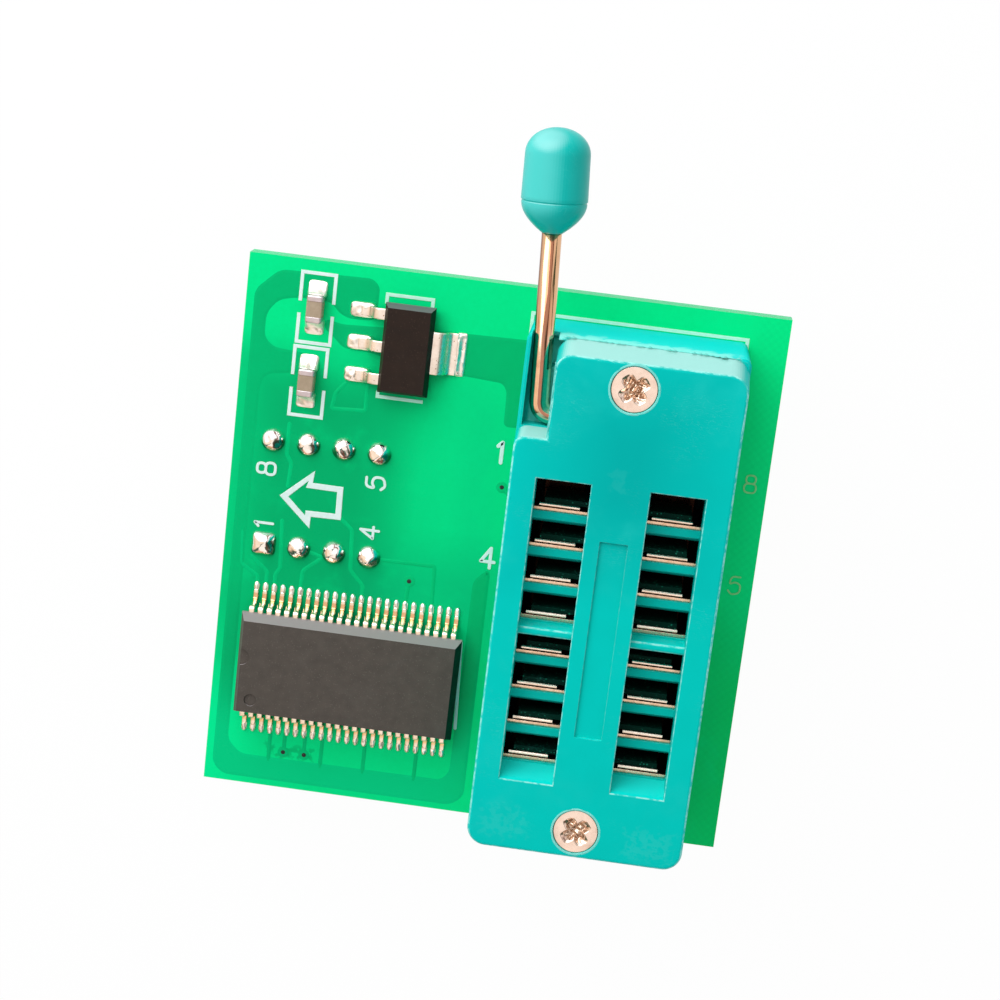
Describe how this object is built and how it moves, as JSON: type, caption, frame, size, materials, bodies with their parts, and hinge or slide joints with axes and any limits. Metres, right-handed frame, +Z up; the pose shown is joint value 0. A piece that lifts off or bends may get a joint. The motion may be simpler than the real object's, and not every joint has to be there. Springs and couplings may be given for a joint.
{
  "type": "usb microcontroller programmer",
  "caption": "Adapter board for a chip programmer: level shifter, regulator and capacitors, a pin header underneath and a lever-operated zero-insertion-force chip socket on top.",
  "frame": {"origin": "centre of the eight header pins, on the underside of the header bars, where they seat on the programmer's chip socket", "axes": "+Z up, away from the pins; +X from the header towards the chip socket; +Y away from header pin 1, the way the closed lever points"},
  "size_m": [0.0378, 0.0506, 0.0169],
  "materials": {
    "solder_mask": "glossy green solder mask over copper, white silkscreen",
    "black_plastic": "matt black moulded plastic",
    "gold_pins": "gold-flashed turned brass",
    "solder": "bright tin-lead solder",
    "chip_plastic": "warm dark grey moulding compound",
    "regulator_plastic": "brown-black moulding compound",
    "tin": "tin-plated leads",
    "ceramic": "tan-brown sintered ceramic",
    "socket_plastic": "teal moulded thermoplastic, satin",
    "contact_metal": "plated spring contact strip, warm bright",
    "nickel": "nickel-plated steel"
  },
  "bodies": {
    "board": {"circuit_board": "solder_mask", "header_bar_south": "black_plastic", "header_bar_north": "black_plastic", "header_pins_south": "gold_pins", "header_pins_north": "gold_pins", "header_solder": "solder", "level_shifter_body": "chip_plastic", "level_shifter_leads_south": "tin", "level_shifter_leads_north": "tin", "regulator_body": "regulator_plastic", "regulator_leads": "tin", "regulator_tab": "tin", "regulator_solder": "solder", "input_capacitor_body": "ceramic", "input_capacitor_terminals": "tin", "output_capacitor_body": "ceramic", "output_capacitor_terminals": "tin", "capacitor_solder": "solder", "socket_base": "socket_plastic", "socket_cover": "socket_plastic", "cover_screws": "nickel", "socket_solder": "solder", "fixed_contacts_left": "contact_metal", "fixed_contacts_right": "contact_metal"},
    "slider": {"contact_slider": "socket_plastic", "moving_contacts_left": "contact_metal", "moving_contacts_right": "contact_metal"},
    "lever": {"lever_rod": "nickel", "lever_knob": "socket_plastic"}
  },
  "joints": [
    {"name": "lever_hinge", "type": "hinge", "parent": "board", "child": "lever", "pos_m": [0.01484, 0.00945, 0.01054], "axis": [1, 0, 0], "range_deg": [0, 90]},
    {"name": "slider_slide", "type": "slide", "parent": "board", "child": "slider", "axis": [0, 1, 0], "range_m": [0, 0.0008]}
  ],
  "couplings": [
    {"joint": "lever_hinge", "follows": "slider_slide", "rad_per_m": 1963.5}
  ]
}
